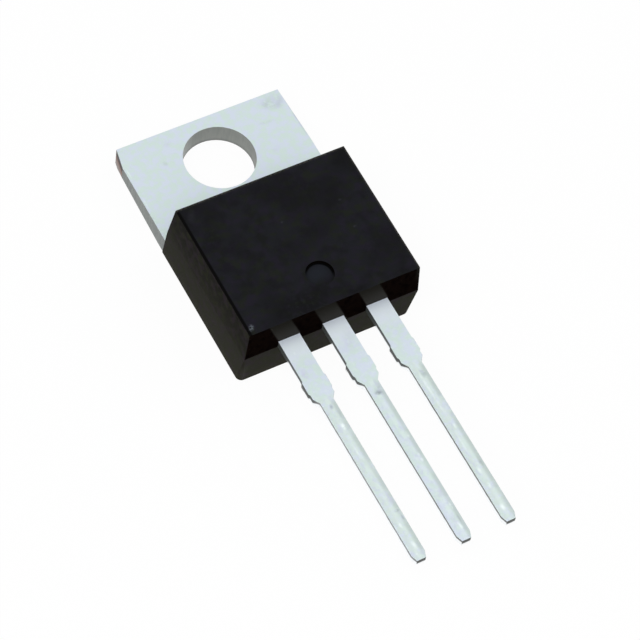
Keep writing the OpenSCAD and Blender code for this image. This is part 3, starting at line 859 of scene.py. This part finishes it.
def scaled(tree, socket, factor, plus):
    """A value times a factor, plus another."""
    node = tree.nodes.new("ShaderNodeMath")
    node.operation = "MULTIPLY_ADD"
    tree.links.new(socket, node.inputs[0])
    node.inputs[1].default_value = factor
    node.inputs[2].default_value = plus
    return node.outputs[0]


def make_floor():
    """Pale floor that takes the part's shadow and shows nearly white."""
    mesh = bpy.data.meshes.new("floor")
    half = FLOOR_SIZE / 2
    corners = [(-half, -half), (half, -half), (half, half), (-half, half)]
    mesh.from_pydata([(x, y, -FLOOR_DROP) for x, y in corners], [], [(0, 1, 2, 3)])
    floor = bpy.data.objects.new("floor", mesh)
    bpy.context.scene.collection.objects.link(floor)
    material = bpy.data.materials.new("white_floor")
    material.use_nodes = True
    tree = material.node_tree
    tree.nodes.clear()
    matt = tree.nodes.new("ShaderNodeBsdfDiffuse")
    matt.inputs["Color"].default_value = WHITE
    shown = tree.nodes.new("ShaderNodeEmission")
    mixed = tree.nodes.new("ShaderNodeMixShader")
    output = tree.nodes.new("ShaderNodeOutputMaterial")
    tree.links.new(scaled(tree, seen_directly(tree), FLOOR_SHOWN, 0.0), mixed.inputs[0])
    tree.links.new(matt.outputs[0], mixed.inputs[1])
    tree.links.new(shown.outputs[0], mixed.inputs[2])
    tree.links.new(mixed.outputs[0], output.inputs[0])
    mesh.materials.append(material)


def make_world():
    """Even light from all round, which shows as white."""
    world = bpy.data.worlds.new("studio")
    bpy.context.scene.world = world
    world.use_nodes = True
    tree = world.node_tree
    background = tree.nodes["Background"]
    background.inputs["Color"].default_value = WHITE
    level = scaled(tree, seen_directly(tree), 1 - WORLD_LEVEL, WORLD_LEVEL)
    tree.links.new(level, background.inputs["Strength"])


def soft_light(name, azimuth, elevation, size, radiance):
    """Square lamp that faces the part from a direction, of a given brightness."""
    data = bpy.data.lights.new(name, "AREA")
    data.shape = "SQUARE"
    data.size = size
    data.energy = radiance * math.pi * size * size
    lamp = bpy.data.objects.new(name, data)
    bpy.context.scene.collection.objects.link(lamp)
    away = direction(azimuth, elevation)
    centre = (cad_box[0] + cad_box[1]) / 2
    lamp.location = centre + away * LAMP_DISTANCE
    lamp.rotation_euler = (-away).to_track_quat("-Z", "Y").to_euler()
    lamp.visible_camera = False


# Camera, fitted to the photograph's edges; the target is a point it looks at
CAMERA_AZIMUTH = math.radians(-37.75983)
CAMERA_ELEVATION = math.radians(57.90794)
CAMERA_ROLL = math.radians(11.21357)
CAMERA_DISTANCE = 159.9329 * MM
CAMERA_TARGET = Vector((0.5485 * MM, -10.48634 * MM, 0))
FOCAL_PIXELS = 3090.91481
PHOTO_PIXELS = 640
SENSOR = 36.0


def make_camera():
    """Camera at the photograph's angle, rolled about its own axis."""
    away = direction(CAMERA_AZIMUTH, CAMERA_ELEVATION)
    level_right = (-away).cross(Vector((0, 0, 1))).normalized()
    level_up = level_right.cross(-away)
    right = math.cos(CAMERA_ROLL) * level_right + math.sin(CAMERA_ROLL) * level_up
    up = math.cos(CAMERA_ROLL) * level_up - math.sin(CAMERA_ROLL) * level_right
    data = bpy.data.cameras.new("camera")
    data.sensor_width = SENSOR
    data.lens = FOCAL_PIXELS * SENSOR / PHOTO_PIXELS
    data.clip_start = CAMERA_DISTANCE / 10
    data.clip_end = CAMERA_DISTANCE * 100
    camera = bpy.data.objects.new("camera", data)
    bpy.context.scene.collection.objects.link(camera)
    turn = Matrix((right, up, away)).transposed().to_4x4()
    camera.matrix_world = Matrix.Translation(CAMERA_TARGET + away * CAMERA_DISTANCE) @ turn
    bpy.context.scene.camera = camera


bpy.context.scene.view_settings.view_transform = "Standard"
make_camera()
make_floor()
make_world()
soft_light("key_light", azimuth=math.radians(-60), elevation=math.radians(60),
           size=0.25, radiance=3.9)
soft_light("fill_light", azimuth=math.radians(70), elevation=math.radians(50),
           size=0.3, radiance=0.95)
make_body()
make_metal(plated_metal())
finish_inner_pieces()
